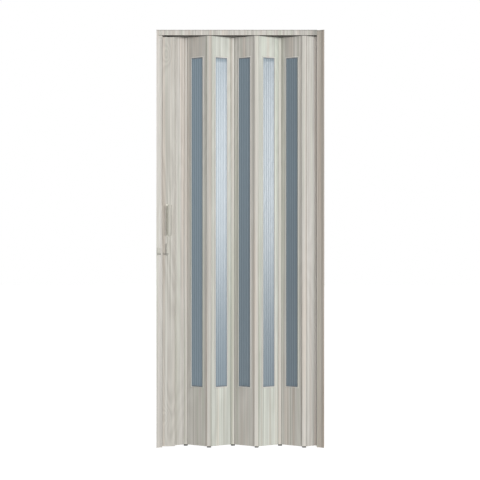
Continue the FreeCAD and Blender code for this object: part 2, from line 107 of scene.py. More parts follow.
# %% Node helpers
def put(tree, kind, inputs=None, **settings):
    """Adds a node, sets its properties and fills or links its inputs."""
    item = tree.nodes.new(kind)
    for name, value in settings.items():
        setattr(item, name, value)
    for name, value in (inputs or {}).items():
        if isinstance(value, bpy.types.NodeSocket):
            tree.links.new(value, item.inputs[name])
        else:
            item.inputs[name].default_value = value
    return item


def maths(tree, operation, first, second=0.0):
    return put(tree, "ShaderNodeMath", {0: first, 1: second}, operation=operation).outputs[0]


def blend_colours(tree, mask, first, second, **settings):
    mix = put(tree, "ShaderNodeMix", {0: mask, 6: first, 7: second}, data_type="RGBA",
              **settings)
    return mix.outputs[2]


def ramp(tree, value, start, end, low=0.0, high=1.0):
    """Low up to the start, high from the end on, and a straight rise between."""
    return put(tree, "ShaderNodeMapRange",
               {0: value, 1: start, 2: end, 3: low, 4: high}).outputs[0]


# %% [markdown]
# ## Groups, materials and colours
# A group is a tree with named inputs and outputs of its own, and it can stand in
# many materials. A material starts with its shader and with the object's own
# coordinates, so that a pattern is measured in metres and stays on its piece.


# %% Starting a tree
def start_group(name, inputs, outputs):
    group = bpy.data.node_groups.new(name, "ShaderNodeTree")
    for label, kind, value in inputs:
        socket = group.interface.new_socket(label, in_out="INPUT", socket_type=kind)
        if value is not None:
            socket.default_value = value
    for label, kind in outputs:
        group.interface.new_socket(label, in_out="OUTPUT", socket_type=kind)
    entry = group.nodes.new("NodeGroupInput")
    result = group.nodes.new("NodeGroupOutput")
    return group, entry.outputs, result.inputs


def start_material(name):
    """A new material, its tree, its shader and the place on the object."""
    material = bpy.data.materials.new(name)
    material.use_nodes = True
    tree = material.node_tree
    place = put(tree, "ShaderNodeTexCoord").outputs["Object"]
    return material, tree, tree.nodes["Principled BSDF"], place


def tone(red, green, blue):
    """A colour given in the 0 to 255 steps of a screen, as linear light."""
    linear = []
    for step in (red, green, blue):
        share = step / 255
        linear.append(share / 12.92 if share <= 0.04045 else ((share + 0.055) / 1.055) ** 2.4)
    return (*linear, 1.0)


print("mid grey as light", round(tone(128, 128, 128)[0], 3))

# %% [markdown]
# ## The wood-grain foil
# The slats, the post and the frame are plastic extrusions wrapped in a printed
# foil: pale ash, grey-beige, with upright streaks a few millimetres wide, faint
# growth figures and now and then a knot. An image would repeat and blur close
# up, so the print is built from stretched noise instead. Each layer has its own
# number of waves a metre, from broad boards down to pores.

# %% Grain layers
foil, given, made = start_group(
    "wood_foil",
    [("Vector", "NodeSocketVector", None),
     ("Light", "NodeSocketColor", tone(211, 208, 201)),
     ("Dark", "NodeSocketColor", tone(176, 172, 164)),
     ("Streaks", "NodeSocketFloat", 1.0),
     ("Figure", "NodeSocketFloat", 1.0),
     ("Knots", "NodeSocketFloat", 0.0)],
    [("Color", "NodeSocketColor"), ("Roughness", "NodeSocketFloat"),
     ("Height", "NodeSocketFloat")])


def stretched_noise(across, along, detail, shift=0.0):
    """Noise with so many waves a metre across the grain and along it."""
    mapped = put(foil, "ShaderNodeMapping",
                 {"Vector": given["Vector"], "Location": (shift, shift, shift),
                  "Scale": (across, across, along)})
    noise = put(foil, "ShaderNodeTexNoise",
                {"Vector": mapped.outputs[0], "Scale": 1.0, "Detail": detail, "Roughness": 0.55})
    return noise.outputs["Fac"]


def weighted(value, weight):
    centred = maths(foil, "SUBTRACT", value, 0.5)
    return maths(foil, "MULTIPLY", centred, weight)


broad = stretched_noise(26, 0.35, 2.0)
streaks = stretched_noise(150, 0.8, 3.0, 3.0)
fibres = stretched_noise(520, 3.0, 2.0, 7.0)
pores = stretched_noise(1500, 26.0, 1.0, 11.0)
growth = stretched_noise(5.5, 0.8, 1.5, 17.0)
tint = stretched_noise(48, 0.6, 1.0, 23.0)
open_pores = maths(foil, "GREATER_THAN", pores, 0.66)
print("grain layers with", len(foil.nodes), "nodes")

# %% [markdown]
# ## The print's tone
# The printed tone is the sum of the layers, each with its own weight. Contours of
# the slow growth noise give the figures of a sawn board. A knot is a push on that
# noise, which bends the contours around it.

# %% Printed tone
CONTOUR_COUNT = 120.0
FIGURE_SHARE = 0.09
BROAD_SHARE = 0.8
STREAK_SHARE = 2.9
FIBRE_SHARE = 1.4
PORE_SHARE = 0.12
bent_growth = maths(foil, "ADD", growth, given["Knots"])
contours = maths(foil, "SINE", maths(foil, "MULTIPLY", bent_growth, CONTOUR_COUNT))
figure = maths(foil, "MULTIPLY", maths(foil, "MULTIPLY", contours, FIGURE_SHARE), given["Figure"])
streak_part = maths(foil, "MULTIPLY", weighted(streaks, STREAK_SHARE), given["Streaks"])
total = maths(foil, "ADD", weighted(broad, BROAD_SHARE), 0.5)
for layer in (streak_part, weighted(fibres, FIBRE_SHARE), figure):
    total = maths(foil, "ADD", total, layer)
total = maths(foil, "SUBTRACT", total, maths(foil, "MULTIPLY", open_pores, PORE_SHARE))
print_tone = put(foil, "ShaderNodeClamp", {"Value": total}).outputs[0]
printed = blend_colours(foil, print_tone, given["Dark"], given["Light"])
print("printed tone with", len(foil.nodes), "nodes")

# %% [markdown]
# ## Tints, gloss and relief
# The print has streaks of a warmer and of a greener tone. They are multiplied
# over it. Pores are a little duller than the face and lie a little deeper.

# %% Tints, gloss and relief
TINT_SHARE = 0.6
FACE_ROUGHNESS = 0.46
FIBRE_ROUGHNESS = 0.16
PORE_ROUGHNESS = 0.1
FIBRE_RELIEF = 0.6
warm = ramp(foil, tint, 0.52, 0.70, 0.0, TINT_SHARE)
cool = ramp(foil, tint, 0.48, 0.30, 0.0, TINT_SHARE)
warmed = blend_colours(foil, warm, printed, tone(255, 245, 238), blend_type="MULTIPLY")
cooled = blend_colours(foil, cool, warmed, tone(243, 250, 240), blend_type="MULTIPLY")
foil.links.new(cooled, made["Color"])
dull = maths(foil, "ADD", FACE_ROUGHNESS, maths(foil, "MULTIPLY", fibres, FIBRE_ROUGHNESS))
dull = maths(foil, "ADD", dull, maths(foil, "MULTIPLY", open_pores, PORE_ROUGHNESS))
foil.links.new(dull, made["Roughness"])
relief = maths(foil, "SUBTRACT", maths(foil, "MULTIPLY", fibres, FIBRE_RELIEF), open_pores)
foil.links.new(relief, made["Height"])
print("wood foil group with", len(foil.nodes), "nodes")

# %% [markdown]
# ## Bands of another tone
# On the real door the top edge looks darker and some pieces lie in the shade of
# their neighbours; bands paint this in as painted shade. One outer edge is paler.
# One small group scales a colour between two positions, so that any finish can have such a band.

# %% Tone band group
tone_band, given, made = start_group(
    "tone_band",
    [("Color", "NodeSocketColor", tone(200, 200, 200)),
     ("Position", "NodeSocketFloat", 0.0),
     ("Start", "NodeSocketFloat", 0.0),
     ("End", "NodeSocketFloat", 1.0),
     ("Factor", "NodeSocketFloat", 1.0)],
    [("Color", "NodeSocketColor")])
share = ramp(tone_band, given["Position"], given["Start"], given["End"])
change = maths(tone_band, "SUBTRACT", given["Factor"], 1.0)
scale = maths(tone_band, "ADD", maths(tone_band, "MULTIPLY", share, change), 1.0)
scaled = put(tone_band, "ShaderNodeVectorMath", {0: given["Color"], "Scale": scale},
             operation="SCALE")
tone_band.links.new(scaled.outputs[0], made["Color"])


def band(tree, colour, position, start, end, factor):
    """The colour before the start, factor times the colour behind the end."""
    node = put(tree, "ShaderNodeGroup",
               {"Color": colour, "Position": position, "Start": start, "End": end,
                "Factor": factor}, node_tree=tone_band)
    return node.outputs["Color"]


print("tone band group with", len(tone_band.nodes), "nodes")

# %% [markdown]
# ## Knots
# A branch leaves rings that the growth lines run round. The push of a knot is
# strongest in its middle and fades like a bell curve, wider along the grain.


# %% Knot
def knot_pull(tree, place, x, z, width, height, strength):
    """How far a knot at x, z bends the growth contours, fading with distance."""
    centred = put(tree, "ShaderNodeMapping",
                  {"Vector": place, "Location": (-x / width, 0.0, -z / height),
                   "Scale": (1 / width, 0.0, 1 / height)})
    distance = put(tree, "ShaderNodeVectorMath", {0: centred.outputs[0]}, operation="LENGTH")
    squared = maths(tree, "MULTIPLY", distance.outputs["Value"], distance.outputs["Value"])
    fade = maths(tree, "EXPONENT", maths(tree, "MULTIPLY", squared, -1.0))
    return maths(tree, "MULTIPLY", fade, strength)


# %% [markdown]
# ## Foil materials
# One function puts the groups into a material. The slats, the post, the frame
# and the mouldings differ only in tone and in how strong the streaks are. The
# emboss of the foil is a fraction of a tenth of a millimetre, so it is bump.
# A mesh can mark its creases in a layer, and there the finish darkens it as painted shade.
# Faces that look down get a dark painted shade.

# %% Foil material
EMBOSS = 0.00006
# Painted shade: the dark tone painted on faces that look down.
UNDERSIDE_SHADE = tone(84, 80, 76)
CREASE_SHADE_TONE = 0.72


def foil_material(name, light, dark, streak=1.0, figure_strength=1.0, knots=(),
                  shade_below=False, bands=()):
    """A foil finish, with places in the frame's metres.

    Each band is (axis, start, end, factor), and each knot (x, z, width, height, strength).
    """
    material, tree, shader, place = start_material(name)
    bend = 0.0
    for knot in knots:
        bend = maths(tree, "ADD", bend, knot_pull(tree, place, *knot))
    foil_node = put(tree, "ShaderNodeGroup",
                    {"Vector": place, "Light": light, "Dark": dark, "Streaks": streak,
                     "Figure": figure_strength, "Knots": bend}, node_tree=foil)
    colour = foil_node.outputs["Color"]
    axes = put(tree, "ShaderNodeSeparateXYZ", {0: place}).outputs
    for axis, start, end, factor in bands:
        colour = band(tree, colour, axes[axis], start, end, factor)
    # Painted shade: the crease layer darkens the foil in a line beside the next strip.
    crease_shade = put(tree, "ShaderNodeAttribute", attribute_name="crease_shade").outputs["Fac"]
    colour = band(tree, colour, crease_shade, 0.0, 1.0, CREASE_SHADE_TONE)
    # Painted shade: faces that look down are painted dark.
    if shade_below:
        normal = put(tree, "ShaderNodeNewGeometry").outputs["True Normal"]
        facing = put(tree, "ShaderNodeSeparateXYZ", {0: normal}).outputs["Z"]
        below = maths(tree, "LESS_THAN", facing, -0.5)
        colour = blend_colours(tree, below, colour, UNDERSIDE_SHADE)
    bump = put(tree, "ShaderNodeBump", {"Strength": 1.0, "Distance": EMBOSS,
                                        "Height": foil_node.outputs["Height"]})
    tree.links.new(colour, shader.inputs["Base Color"])
    tree.links.new(foil_node.outputs["Roughness"], shader.inputs["Roughness"])
    tree.links.new(bump.outputs[0], shader.inputs["Normal"])
    shader.inputs["Specular IOR Level"].default_value = 0.3
    return material


# %% [markdown]
# ## Foils of the leaf and the frame
# The tones are those of the pale print on each piece. Bands carry what changes
# along a piece: painted shade on the top edge, and painted shade in the corners to the right.

# %% Leaf and frame foils
LIGHT_ASH = tone(210, 207, 200)
DARK_ASH = tone(178, 174, 166)
post_low, post_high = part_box("lead_post")
POST_KNOTS = [(post_low.x + 0.034, 1.910, 0.018, 0.042, 0.13),
              (post_low.x + 0.030, 0.150, 0.016, 0.038, -0.12)]
# Painted shade: the top edge of the frame is painted darker, as shade on its bevel.
TOP_EDGE_SHADE = ("Z", FRAME_HIGH.z - 0.0068, FRAME_HIGH.z - 0.0060, 0.8)
slat_foil = foil_material("slat_foil", LIGHT_ASH, DARK_ASH)
green_foil = foil_material("green_foil", tone(209, 211, 203), tone(176, 177, 168))
# Painted shade: the last slat darkens towards the right jamb.
END_SLAT_SHADE = ("X", -0.058, -0.051, 0.74)
end_slat_foil = foil_material("end_slat_foil", tone(202, 199, 193), tone(172, 168, 161),
                              bands=[END_SLAT_SHADE])
frame_foil = foil_material("frame_foil", tone(213, 210, 204), tone(182, 178, 171), 0.8, 0.6,
                           shade_below=True, bands=[TOP_EDGE_SHADE])
# Painted shade: the header darkens towards its right end, most at the corner by the right jamb.
HEADER_BANDS = [TOP_EDGE_SHADE, ("X", -0.35, -0.10, 0.9), ("X", -0.076, -0.046, 0.66)]
header_foil = foil_material("header_foil", tone(220, 217, 210), tone(187, 183, 176), 1.0, 0.8,
                            shade_below=True, bands=HEADER_BANDS)
# Painted light: a lighter copy of the frame foil, for the corner cover and the left jamb's lip.
corner_foil = foil_material("corner_foil", tone(228, 225, 219), tone(198, 194, 187), 0.8, 0.6,
                            bands=[TOP_EDGE_SHADE])
# Painted shade: the right jamb is a darker copy of the frame foil, with a further band of painted
# shade; its outer edge is paler.
SHADED_BANDS = [TOP_EDGE_SHADE, ("X", -0.017, -0.011, 0.93), ("X", -0.0052, -0.0040, 1.4)]
shaded_foil = foil_material("shaded_foil", tone(195, 188, 179), tone(166, 159, 149), 0.8, 0.6,
                            bands=SHADED_BANDS)
# Painted shade: the right jamb's lip is a darker copy of the frame foil.
lip_foil = foil_material("lip_foil", tone(204, 197, 188), tone(176, 169, 160), 0.8, 0.6)
post_foil = foil_material("post_foil", tone(217, 214, 206), tone(183, 179, 171), 1.0, 2.0,
                          POST_KNOTS)
print("foil materials", slat_foil.name, frame_foil.name, post_foil.name)

# %% [markdown]
# ## Soft strips and mouldings
# The hinge strips are soft vinyl with the same print, with softer streaks. The
# pull, the latch and the beads are moulded in the foil's tone. Bands paint light
# into the shade of the pull's finger field, darken its rims and paint shade under the hook.

# %% Strip and moulding foils
STRIP_BANDS = [("X", -0.50, -0.42, 1.14), ("X", -0.30, -0.25, 0.92)]
strip_vinyl = foil_material("strip_vinyl", tone(216, 213, 206), tone(190, 186, 178), 0.7, 0.4,
                            bands=STRIP_BANDS)
# Painted light: the tie strips are paler to lift the shade in their deep corners, with a band of
# painted shade beside the right jamb.
TIE_SHADE = ("X", -0.0425, -0.0455, 0.66)
tie_vinyl = foil_material("tie_vinyl", tone(250, 246, 240), tone(230, 225, 217), 0.7, 0.4,
                          bands=[TIE_SHADE])
pull_low, pull_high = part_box("handle")
pull_centre = (pull_low.x + pull_high.x) / 2
# Painted light lifts the shade beside the lip; the two rims are painted darker.
PULL_BANDS = [("X", pull_centre - 0.0036, pull_centre - 0.0048, 1.85),
              ("X", pull_centre - 0.0100, pull_centre - 0.0115, 0.76),
              ("X", pull_centre + 0.0100, pull_centre + 0.0120, 0.70)]
moulded_foil = foil_material("moulded_foil", tone(212, 209, 201), tone(186, 182, 173), 0.8, 0.5,
                             bands=PULL_BANDS)
hook_low, hook_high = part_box("lock_hook")
HOOK_SHADE = ("Z", hook_low.z + 0.0100, hook_low.z + 0.0065, 0.68)
latch_foil = foil_material("latch_foil", tone(203, 200, 193), tone(180, 176, 168), 0.8, 0.5,
                           bands=[HOOK_SHADE])
bead_foil = foil_material("bead_foil", tone(218, 216, 210), tone(193, 190, 183), 0.5, 0.3)
print("strip and moulding foils", strip_vinyl.name, moulded_foil.name, bead_foil.name)

# %% [markdown]
# ## Black mouldings
# The feet and the gliders are black, with a fine moulded texture that keeps them
# from looking like ink, and with dust in patches.

# %% Moulded plastic
DUST_SIZE = 20
DUST_SHARE = 0.35


def moulded_material(name, base, low, high, grain, depth):
    """A plain moulded plastic with a fine leathery texture in gloss and relief."""
    material, tree, shader, place = start_material(name)
    noise = put(tree, "ShaderNodeTexNoise",
                {"Vector": place, "Scale": grain, "Detail": 3.0, "Roughness": 0.6}).outputs["Fac"]
    patches = put(tree, "ShaderNodeTexNoise",
                  {"Vector": place, "Scale": grain / DUST_SIZE, "Detail": 2.0}).outputs["Fac"]
    dusty = ramp(tree, patches, 0.45, 0.75, 0.0, DUST_SHARE)
    lifted = tuple(min(1.0, channel * 2.2 + 0.01) for channel in base[:3]) + (1.0,)
    tree.links.new(blend_colours(tree, dusty, base, lifted), shader.inputs["Base Color"])
    tree.links.new(ramp(tree, noise, 0.3, 0.7, low, high), shader.inputs["Roughness"])
    bump = put(tree, "ShaderNodeBump", {"Strength": 1.0, "Distance": depth, "Height": noise})
    tree.links.new(bump.outputs[0], shader.inputs["Normal"])
    return material


foot_rubber = moulded_material("foot_rubber", tone(38, 38, 38), 0.55, 0.8, 900.0, 0.00015)
glider_nylon = moulded_material("glider_nylon", tone(44, 44, 45), 0.35, 0.55, 700.0, 0.0001)
print("black mouldings", foot_rubber.name, glider_nylon.name)

# %% [markdown]
# ## The ribbed panes
# The panes are translucent blue-grey plastic sheet with shallow upright reeds.
# Part of the light passes, part is scattered in the sheet, and the smooth face
# mirrors the lamp. That is why the panes turned towards the light look pale
# and the others dark. The grooves are painted darker than the crests, as painted
# shade. Lower down the sheets are painted a little darker, and the ones to the left
# a little paler than the middle one and the ones to the right a little darker, as painted light
# and shade.

# %% Pane material
# Painted light and shade: paler to the left, darker to the right and darker lower down.
PALER_LEFT = (-0.45, -0.60, 1.2)
DARKER_RIGHT = (-0.40, -0.15, 0.86)
DARKER_BELOW = (1.30, 0.75, 0.91)
pane_sheet, tree, shader, place = start_material("pane_sheet")
cloud = put(tree, "ShaderNodeTexNoise", {"Vector": place, "Scale": 3.0, "Detail": 2.0})
crest = put(tree, "ShaderNodeAttribute", attribute_name="reed").outputs["Fac"]
sheet_colour = blend_colours(tree, cloud.outputs["Fac"], tone(127, 147, 160), tone(134, 151, 162))
# Painted shade in the grooves between the reeds.
grooved = blend_colours(tree, crest, tone(109, 127, 139), sheet_colour)
axes = put(tree, "ShaderNodeSeparateXYZ", {0: place}).outputs
toned = band(tree, grooved, axes["X"], *PALER_LEFT)
toned = band(tree, toned, axes["X"], *DARKER_RIGHT)
toned = band(tree, toned, axes["Z"], *DARKER_BELOW)
tree.links.new(toned, shader.inputs["Base Color"])
print("pane colour with", len(tree.nodes), "nodes")

# %% [markdown]
# ## Gloss of the panes
# Smears change the roughness a little, and haze makes both ends of the sheet
# duller. The sheet lets some light through. Transmission and coat are plain
# values on the shader's sockets, because they are the same all over the sheet.

# %% Pane gloss
SMEAR_LOW, SMEAR_HIGH = 0.30, 0.32
END_HAZE = 0.3
HAZE_START, HAZE_END = 0.026, 0.016
smear = put(tree, "ShaderNodeTexNoise", {"Vector": place, "Scale": 35.0, "Detail": 3.0})
smeared = ramp(tree, smear.outputs["Fac"], 0.3, 0.7, SMEAR_LOW, SMEAR_HIGH)
pane_low, pane_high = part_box("glass_pane_1")
half_pane = (pane_high.z - pane_low.z) / 2
from_middle = maths(tree, "ABSOLUTE",
                    maths(tree, "SUBTRACT", axes["Z"], (pane_low.z + pane_high.z) / 2))
haze = ramp(tree, from_middle, half_pane - HAZE_START, half_pane - HAZE_END, 0.0, END_HAZE)
tree.links.new(maths(tree, "ADD", smeared, haze), shader.inputs["Roughness"])
shader.inputs["Transmission Weight"].default_value = 0.25
shader.inputs["IOR"].default_value = 1.59
shader.inputs["Coat Weight"].default_value = 0.33
shader.inputs["Coat Roughness"].default_value = 0.27
print("pane material", pane_sheet.name)

# %% [markdown]
# ## Finishes on the frame's own pieces
# Pieces whose shape is right keep their mesh and only get their finish, by the
# name of the node.

# %% Dress the nodes
FINISHES = {
    "header": header_foil,
    "left_jamb": frame_foil,
    "right_jamb": shaded_foil,
    "lead_post": post_foil,
    "slat_3": green_foil,
    "slat_5": green_foil,
    "slat_1": end_slat_foil,
    "slat_7": end_slat_foil,
    "slat": slat_foil,
    "hinge_strip": strip_vinyl,
    "post_hinge": tie_vinyl,
    "end_strip": tie_vinyl,
    "glass_pane": pane_sheet,
    "glazing_bead": bead_foil,
    "foot_cap": foot_rubber,
    "glider": glider_nylon,
    "handle": moulded_foil,
    "lock": latch_foil,
}
for node_name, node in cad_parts.items():
    finish = next(value for start, value in FINISHES.items() if node_name.startswith(start))
    node.data.materials.clear()
    node.data.materials.append(finish)
print(len(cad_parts), "nodes dressed")

# %% [markdown]
# ## Shaping helpers
# Most pieces here start as a flat rectangle or as an outline in plan. They are
# then extruded, and their edges are rounded, because no moulded or extruded edge
# is sharp. These few helpers name those steps.


# %% Shaping
def rectangle(width, height):
    """A mesh with one flat face that looks up."""
    bm = bmesh.new()
    bmesh.ops.create_grid(bm, x_segments=1, y_segments=1, size=0.5)
    bmesh.ops.scale(bm, vec=(width, height, 1), verts=bm.verts)
    return bm


def grow(bm, faces, way):
    """Extrudes faces by a vector and gives the new faces."""
    grown = bmesh.ops.extrude_face_region(bm, geom=faces)["geom"]
    points = [item for item in grown if isinstance(item, bmesh.types.BMVert)]
    bmesh.ops.translate(bm, vec=way, verts=points)
    return [item for item in grown if isinstance(item, bmesh.types.BMFace)]


def extrude_outline(outline, low, high):
    """A closed upright body over a plan outline."""
    bm = bmesh.new()
    base = bm.faces.new([bm.verts.new((x, y, low)) for x, y in outline])
    grow(bm, [base], (0, 0, high - low))
    return bm


def round_off(bm, geom, affect, offset, segments):
    bmesh.ops.bevel(bm, geom=geom, affect=affect, offset=offset, segments=segments,
                    profile=0.5, material=-1)


def edges_between(bm, low, high):
    """The edges that lie whole between two heights."""
    return [edge for edge in bm.edges if all(low < vert.co.z < high for vert in edge.verts)]


def everything(bm):
    return bm.verts[:] + bm.edges[:] + bm.faces[:]


# %% [markdown]
# ## Pieces on a turned slat
# Each pane and its bead stand on a slat that is turned about the vertical. The
# frame gives upright boxes, so the piece's own width and thickness are worked
# back from its box and the pleat angle. A piece is then modelled flat, facing
# up, stood up to face the front and turned into place.

# %% Slat geometry
PLEAT = math.radians(18)
GLAZED = range(1, 6)


def own_size(name):
    """The width, thickness and height of a turned plate, and its middle."""
    low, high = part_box(name)
    box = high - low
    wide = (box.x * math.cos(PLEAT) - box.y * math.sin(PLEAT)) / math.cos(2 * PLEAT)
    thick = (box.y * math.cos(PLEAT) - box.x * math.sin(PLEAT)) / math.cos(2 * PLEAT)
    return wide, thick, box.z, (low + high) / 2


def stand_up(bm, middle, turn):
    """Stands a piece that was modelled facing up, and turns it into its place."""
    stood = Matrix.Rotation(math.radians(90), 4, "X")
    turned = Matrix.Rotation(turn, 4, "Z")
    bm.transform(Matrix.Translation(middle) @ turned @ stood)


def slat_turn(number):
    return -PLEAT if number % 2 else PLEAT


print("pane size", [round(value, 4) for value in own_size("glass_pane_1")[:3]])

# %% [markdown]
# ## Handing a piece over
# A finished mesh becomes an object that rides on the door's one body. It hides
# the construction nodes it stands for and gets its finish. A closed mesh has no
# open edges, so the helper prints a line when it finds some.


# %% Finishing a piece
def finish_piece(bm, name, material, nodes, smooth_angle=None):
    """Turns a bmesh into a piece that stands for the given nodes."""
    bmesh.ops.recalc_face_normals(bm, faces=bm.faces)
    open_edges = sum(1 for edge in bm.edges if not edge.is_manifold)
    mesh = bpy.data.meshes.new(name)
    bm.to_mesh(mesh)
    bm.free()
    mesh.materials.append(material)
    piece = bpy.data.objects.new(name, mesh)
    scene.collection.objects.link(piece)
    if smooth_angle is not None:
        mesh.shade_smooth()
        mesh.set_sharp_from_angle(angle=math.radians(smooth_angle))
    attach(piece, "root")
    if nodes:
        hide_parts(*nodes)
    if open_edges:
        print(name, "has", open_edges, "open edges")


# %% [markdown]
# ## Reeded panes
# A reeded sheet is rolled with shallow round ribs on its front and a flat back.
# A grid with several columns for each rib is extruded backwards, and its front is
# lifted by a cosine. Pane 4 shows stronger lines than the others, so its sheet
# has deeper ribs and starts at another place of the pattern.

# %% Panes
REEDS = 5.5
REED_STEPS = 8
REED_DEPTH, REED_SHIFT = 0.0004, 2.1
DEEP_PANE = 4
DEEP_DEPTH, DEEP_SHIFT = 0.00065, 1.4
PANE_FORWARD = 0.002


def forward(middle, number):
    """The pane sits a little in front of its slat's middle plane."""
    turn = slat_turn(number)
    return middle + Vector((math.sin(turn), -math.cos(turn), 0)) * PANE_FORWARD


def reeded_pane(number):
    node_name = f"glass_pane_{number}"
    width, thickness, height, middle = own_size(node_name)
    deep = number == DEEP_PANE
    depth, shift = (DEEP_DEPTH, DEEP_SHIFT) if deep else (REED_DEPTH, REED_SHIFT)
    bm = bmesh.new()
    reed = bm.verts.layers.float.new("reed")
    bmesh.ops.create_grid(bm, x_segments=int(REEDS * REED_STEPS), y_segments=1, size=0.5)
    front = list(bm.verts)
    grow(bm, bm.faces[:], (0, 0, -thickness / 2))
    for vert in front:
        rise = (1 - math.cos(2 * math.pi * REEDS * vert.co.x + shift)) / 2
        vert.co.z = thickness / 2 - depth * (1 - rise)
        vert[reed] = rise
    bmesh.ops.scale(bm, vec=(width, height, 1), verts=bm.verts)
    stand_up(bm, forward(middle, number), slat_turn(number))
    finish_piece(bm, f"reeded_pane_{number}", pane_sheet, [node_name],
                 smooth_angle=40)


for number in GLAZED:
    reeded_pane(number)
print("reeded panes", len(GLAZED))

# %% [markdown]
# ## The section of a slat
# A slat is an extrusion with softly rounded edges and a groove in each end for
# the strips' tongues. The outline is drawn in the slat's own plane, from the
# middle of one end round its corner, and mirrored. The last points of a quarter
# give the line of painted shade beside the next strip its two edges.

# %% Slat section
SLAT_THICKNESS = 0.012
SLAT_ROUND = 0.0012
GROOVE_DEPTH = 0.004
GROOVE_HALF = 0.0016
CREASE_START = 0.0016
CREASE_END = 0.0062
CREASE_FADE = 0.0004
HAIR = 0.0001


def slat_outline(width):
    """Corners (across, depth) of a quarter, used for all four."""
    half, face = width / 2, SLAT_THICKNESS / 2
    quarter = [(half - GROOVE_DEPTH, GROOVE_HALF), (half, GROOVE_HALF)]
    for step in range(5):
        angle = math.radians(90 * step / 4)
        quarter.append((half - SLAT_ROUND * (1 - math.cos(angle)),
                        face - SLAT_ROUND * (1 - math.sin(angle))))
    for reach in (CREASE_START, CREASE_END, CREASE_END + CREASE_FADE):
        quarter.append((half - reach, face))
    upper = quarter + [(-x, y) for x, y in reversed(quarter)]
    return upper + [(-x, -y) for x, y in upper]


print("slat section with", len(slat_outline(0.1)), "points")

# %% [markdown]
# ## The windows
# A glazed slat has one tall opening, a little larger than the visible field of
# its pane. The flat faces are cut along four planes, the middle is removed, and
# the two holes are bridged by walls.

# %% Window
WINDOW_MARGIN = 0.006
SHEET_EDGE = 0.003


def opening_size(number):
    """Width and height of the pane's visible field, its thickness and middle."""
    width, thickness, height, middle = own_size(f"glass_pane_{number}")
    return width - 2 * SHEET_EDGE, height - 2 * SHEET_EDGE, thickness, middle


def cut_window(bm, width, low, high):
    for point, normal in (((width / 2, 0, 0), (1, 0, 0)), ((-width / 2, 0, 0), (1, 0, 0)),
                          ((0, 0, low), (0, 0, 1)), ((0, 0, high), (0, 0, 1))):
        bmesh.ops.bisect_plane(bm, geom=everything(bm), dist=1e-7, plane_co=point,
                               plane_no=normal)
    inside = []
    for face in bm.faces:
        centre = face.calc_center_median()
        if abs(face.normal.y) > 0.9 and abs(centre.x) < width / 2 and low < centre.z < high:
            inside.append(face)
    bmesh.ops.delete(bm, geom=inside, context="FACES")
    rims = [edge for edge in bm.edges if edge.is_boundary]
    bmesh.ops.bridge_loops(bm, edges=rims)


print("visible field", [round(value, 3) for value in opening_size(1)[:2]])

# %% [markdown]
# ## Slats
# The two narrow slats at the ends are plain. Beside the next strip a glazed slat
# gets a line of painted shade, and a crease layer marks that edge for the finish.
# Slats 3 and 5 have a slightly greener print.

# %% Slats
SLAT_EDGE = 0.0096
SLAT_FINISHES = {1: end_slat_foil, 3: green_foil, 5: green_foil, 7: end_slat_foil}


def slat(number):
    low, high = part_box(f"slat_{number}")
    middle = (low + high) / 2
    width = ((high.x - low.x) - SLAT_EDGE * math.sin(PLEAT)) / math.cos(PLEAT)
    bm = extrude_outline(slat_outline(width), -(high.z - low.z) / 2, (high.z - low.z) / 2)
    bm.normal_update()
    if number - 1 in GLAZED:
        pane_width, pane_height, _, pane_middle = opening_size(number - 1)
        half = pane_height / 2 + WINDOW_MARGIN
        rise = pane_middle.z - middle.z
        cut_window(bm, pane_width + 2 * WINDOW_MARGIN, rise - half, rise + half)
        # Painted shade beside the next strip is marked here.
        crease_shade = bm.verts.layers.float.new("crease_shade")
        for vert in bm.verts:
            from_end = width / 2 - vert.co.x
            vert[crease_shade] = float(CREASE_START - HAIR < from_end < CREASE_END + HAIR)
    turn = Matrix.Rotation(slat_turn(number - 1), 4, "Z")
    bm.transform(Matrix.Translation(middle) @ turn)
    finish = SLAT_FINISHES.get(number, slat_foil)
    finish_piece(bm, f"leaf_{number}", finish, [f"slat_{number}"],
                 smooth_angle=30)


for number in range(1, 8):
    slat(number)
print("slats made")

# %% [markdown]
# ## Rings
# Bead and seal are both rings around a pane. A ring is made from one plane: it
# is raised to the outer wall, inset towards the middle and opened. The mirror
# operator adds the back, and the mitres come from the inset.


# %% Ring
def ring(width, height, outer, steps):
    """A ring from a plane: steps are (inset, rise) pairs from its outer wall."""
    bm = rectangle(width + 2 * outer, height + 2 * outer)
    top = grow(bm, bm.faces[:], (0, 0, steps[0][1]))
    for inset, rise in steps[1:]:
        bmesh.ops.inset_region(bm, faces=top, thickness=inset, depth=0, use_even_offset=True)
        lifted = {vert for face in top for vert in face.verts}
        bmesh.ops.translate(bm, vec=(0, 0, rise), verts=list(lifted))
    bmesh.ops.delete(bm, geom=top, context="FACES")
    bottom = [face for face in bm.faces if all(abs(v.co.z) < 1e-7 for v in face.verts)]
    bmesh.ops.delete(bm, geom=bottom, context="FACES_ONLY")
    bmesh.ops.mirror(bm, geom=everything(bm), axis="Z", merge_dist=1e-6)
    bmesh.ops.remove_doubles(bm, verts=bm.verts[:], dist=1e-6)
    return bm


# %% [markdown]
# ## Beads
# The pane is held by a mitred bead, clipped together from the front and the
# back. It stands a little proud of the slat and has soft edges.

# %% Beads
BEAD_OVERLAP = 0.0058
BEAD_PROUD = 0.0007
BEAD_SOFTNESS = 0.0007
BEAD_SLOPE = 0.0006


